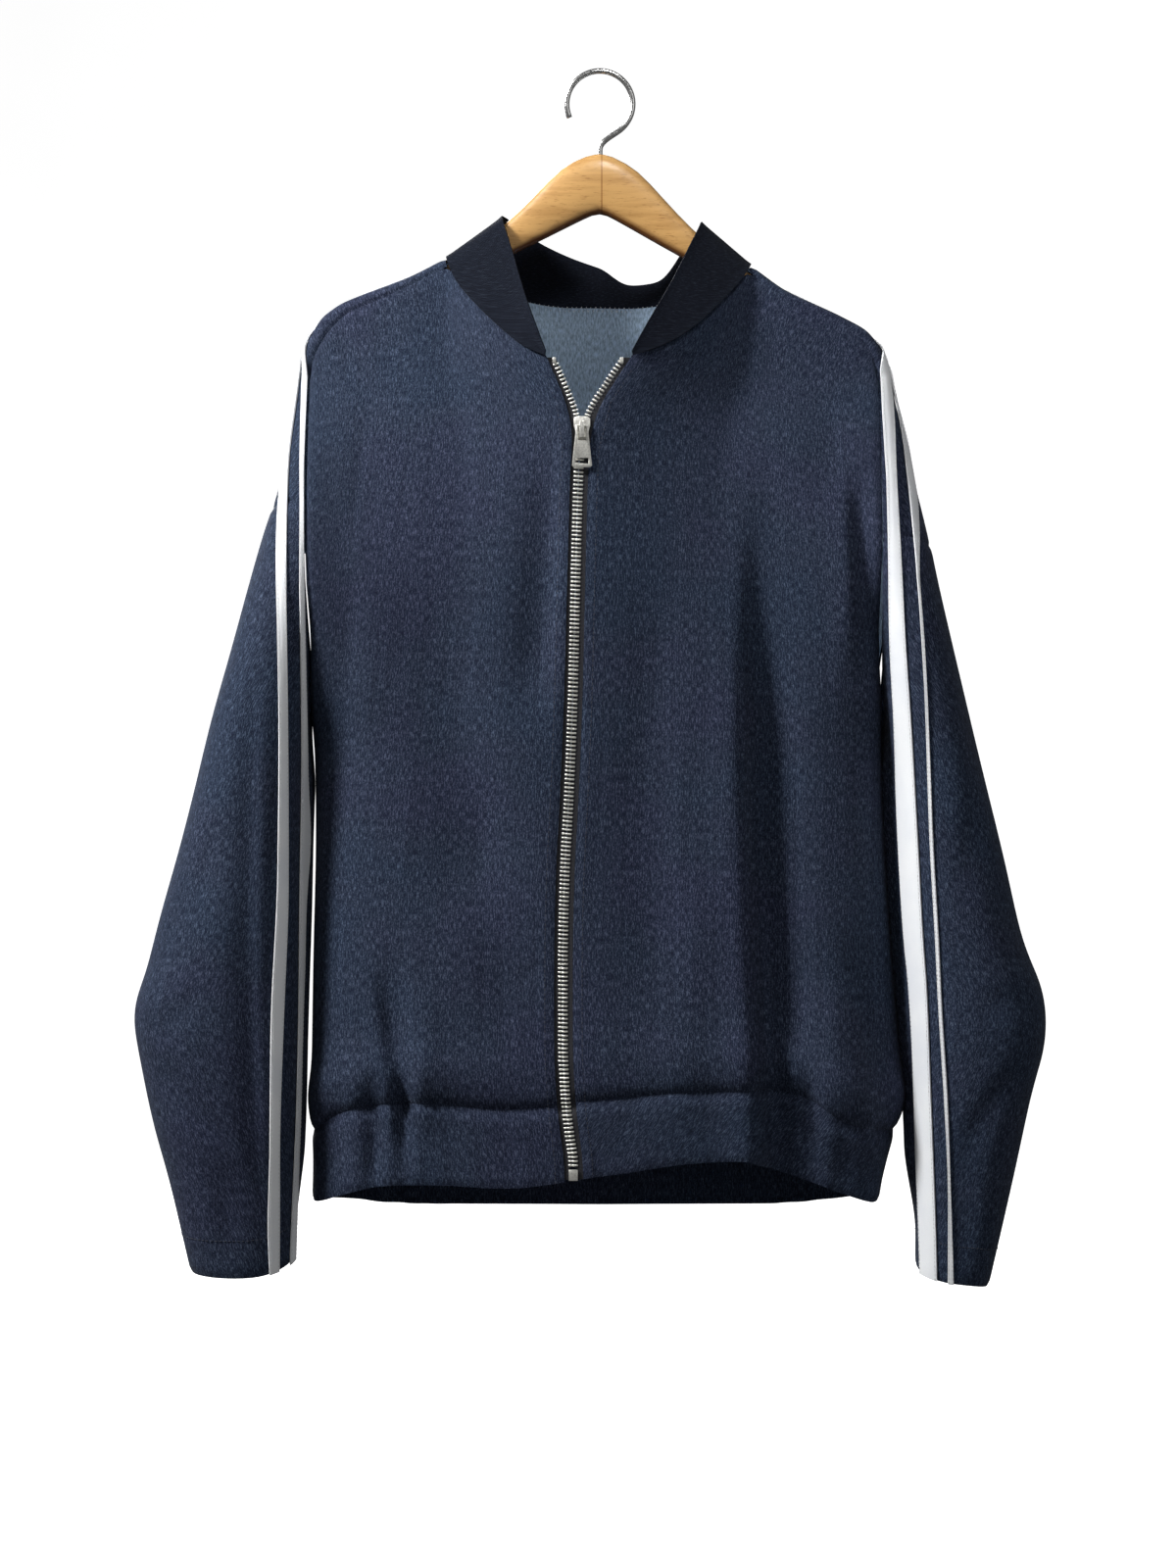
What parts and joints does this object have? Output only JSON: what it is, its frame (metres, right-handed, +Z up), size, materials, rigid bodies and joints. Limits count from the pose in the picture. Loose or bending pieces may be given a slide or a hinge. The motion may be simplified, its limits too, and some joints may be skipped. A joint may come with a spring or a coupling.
{
  "type": "bomber jacket on hanger",
  "caption": "Dark denim bomber jacket with white sleeve stripes and a front zip, hung on a wooden hanger; the zip pull tab swings.",
  "frame": {"origin": "the top of the inside of the hook's bend, where the rail carries it", "axes": "+Z up, +X towards the wearer's left sleeve, -Y towards the viewer in front of the jacket"},
  "size_m": [0.5983, 0.1161, 0.805],
  "materials": {
    "denim": "dark indigo cotton twill, washed, with pale slubs; the reverse is a lighter grey blue",
    "white_tape": "white woven ribbon sewn down along both edges",
    "zip_tape": "black woven polyester zip tape",
    "zip_metal": "bright nickel plate, lightly worn",
    "hanger_wood": "honey beech under satin varnish",
    "hook_steel": "round steel wire, bright"
  },
  "bodies": {
    "jacket": {"front_right": "denim", "front_left": "denim", "back": "denim", "sleeve_right": "denim", "sleeve_left": "denim", "collar": "denim", "hem_band": "denim", "stripe_right_wide": "white_tape", "stripe_right_narrow": "white_tape", "stripe_left_wide": "white_tape", "stripe_left_narrow": "white_tape", "zip_tape_right": "zip_tape", "zip_tape_left": "zip_tape", "zip_slider": "zip_metal", "zip_box": "zip_metal", "zip_stop_right": "zip_metal", "zip_stop_left": "zip_metal", "hanger_wood": "hanger_wood", "hanger_hook": "hook_steel"},
    "pull_tab": {"zip_pull": "zip_metal"}
  },
  "joints": [
    {"name": "pull_hinge", "type": "hinge", "parent": "jacket", "child": "pull_tab", "pos_m": [-0.0117, -0.05913, -0.2415], "axis": [-1, 0, 0], "range_deg": [0, 150]}
  ]
}
